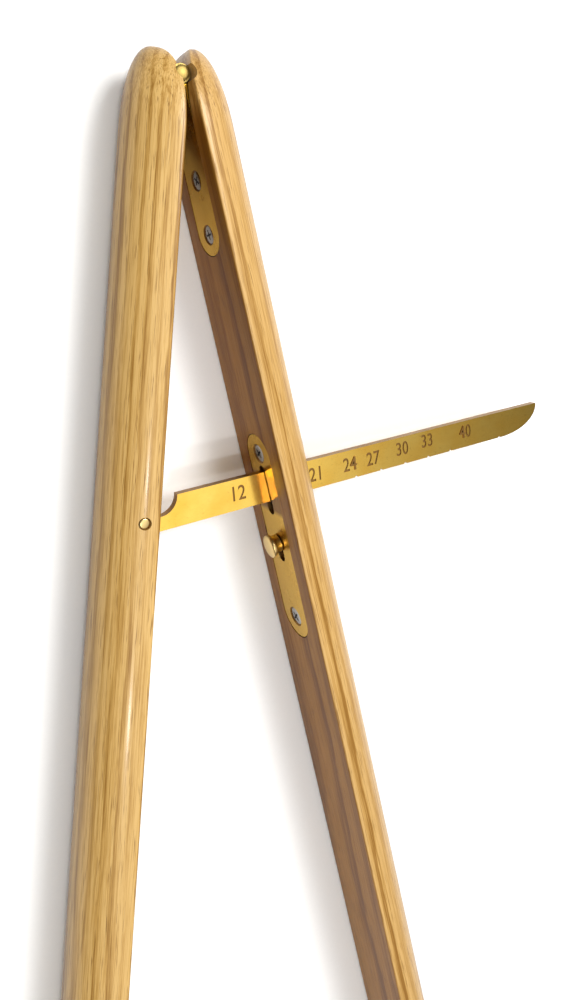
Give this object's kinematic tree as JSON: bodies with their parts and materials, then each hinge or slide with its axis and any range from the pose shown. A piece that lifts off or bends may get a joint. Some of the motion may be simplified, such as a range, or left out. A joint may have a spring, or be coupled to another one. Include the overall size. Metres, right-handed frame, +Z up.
{
  "type": "pace stick",
  "caption": "Folding pace measuring stick: two hinged half-round ash legs with brass hinge, notched stay arm, sprung catch, shoes and toes.",
  "frame": {"origin": "centre of the bounding box in plan, on the surface that the open stick lies on", "axes": "+Y up the stick to the head, +Z up from the surface, hinge axis along +Z; opened to the 12 inch setting"},
  "size_m": [0.3164, 0.9022, 0.032],
  "materials": {
    "ash_wood": "clear satin lacquer, straight grain",
    "brass": "polished",
    "steel": "bright, lightly worn"
  },
  "bodies": {
    "left_leg_body": {"left_leg": "ash_wood", "hinge_leaf_left": "brass", "hinge_pin": "brass", "hinge_screw_left_upper": "steel", "hinge_screw_left_lower": "steel", "stay_pivot_pin": "brass", "shoe_left": "brass", "shoe_pin_left": "brass", "toe_left": "steel"},
    "right_leg_body": {"right_leg": "ash_wood", "hinge_leaf_right": "brass", "hinge_screw_right_upper": "steel", "hinge_screw_right_lower": "steel", "hinge_set_screw": "steel", "catch_plate": "brass", "catch_screw_upper": "steel", "catch_screw_lower": "steel", "catch_spring": "steel", "shoe_right": "brass", "shoe_pin_right": "brass", "toe_right": "steel"},
    "stay_arm_body": {"stay_arm": "brass"},
    "catch_body": {"catch_bolt": "brass", "catch_knob": "brass"}
  },
  "joints": [
    {"name": "leg_hinge", "type": "hinge", "parent": "left_leg_body", "child": "right_leg_body", "pos_m": [-0.00311, 0.44109, 0.016], "axis": [0, 0, 1], "range_deg": [-17.9, 48.9]},
    {"name": "stay_pivot", "type": "hinge", "parent": "left_leg_body", "child": "stay_arm_body", "pos_m": [-0.03075, 0.29989, 0.016], "axis": [0, 0, 1], "range_deg": [-8.5, 23.1]},
    {"name": "catch_slide", "type": "slide", "parent": "right_leg_body", "child": "catch_body", "axis": [0.1586, -0.9873, 0], "range_m": [0, 0.004], "stiffness_N_per_m": 300, "springref_m": -0.004, "deforming": ["catch_spring"]}
  ],
  "couplings": [
    {"joint": "stay_pivot", "follows": "leg_hinge", "ratio": 0.47}
  ]
}
